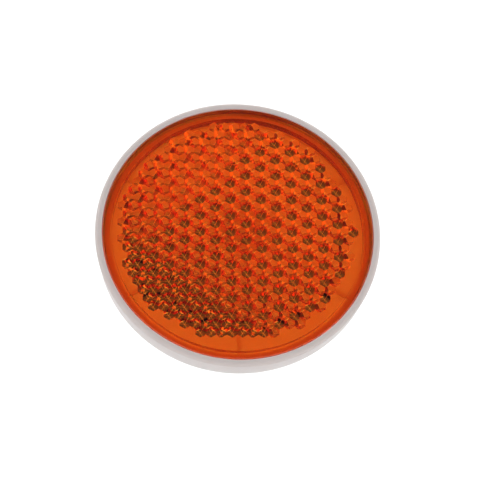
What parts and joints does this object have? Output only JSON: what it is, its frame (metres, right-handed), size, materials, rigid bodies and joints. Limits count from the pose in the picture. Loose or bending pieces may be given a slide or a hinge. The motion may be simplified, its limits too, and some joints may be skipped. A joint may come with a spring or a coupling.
{
  "type": "round bolt-on reflex reflector",
  "caption": "Round amber reflex reflector: corner-cube lens in a milky plastic housing, fixed through a panel by a central stud with washers and a nut.",
  "frame": {"origin": "centre of the flat back ring that sits on a panel, on the stud's axis", "axes": "+Z out of the lens face, -Z along the stud, X along the rows of hexagonal pins, Y across them"},
  "size_m": [0.084, 0.084, 0.0276],
  "materials": {
    "amber_acrylic": "clear amber acrylic with a polished face",
    "milky_plastic": "milky white moulded plastic, satin",
    "zinc_plated_steel": "bright zinc plate",
    "black_rubber": "smooth moulded rubber"
  },
  "bodies": {
    "reflector": {"lens": "amber_acrylic", "housing": "milky_plastic", "stud_bolt": "zinc_plated_steel", "stud_seal": "black_rubber"},
    "washers": {"flat_washer": "zinc_plated_steel", "spring_washer": "zinc_plated_steel"},
    "nut": {"hex_nut": "zinc_plated_steel"}
  },
  "joints": [
    {"name": "washers_slide", "type": "slide", "parent": "reflector", "child": "washers", "axis": [0, 0, -1], "range_m": [0, 0.0121]},
    {"name": "nut_turn", "type": "hinge", "parent": "washers", "child": "nut", "pos_m": [0, 0, 0], "axis": [0, 0, -1], "range_deg": [0, 5400]}
  ],
  "couplings": [
    {"joint": "washers_slide", "follows": "nut_turn", "m_per_rad": 0.00012732}
  ]
}
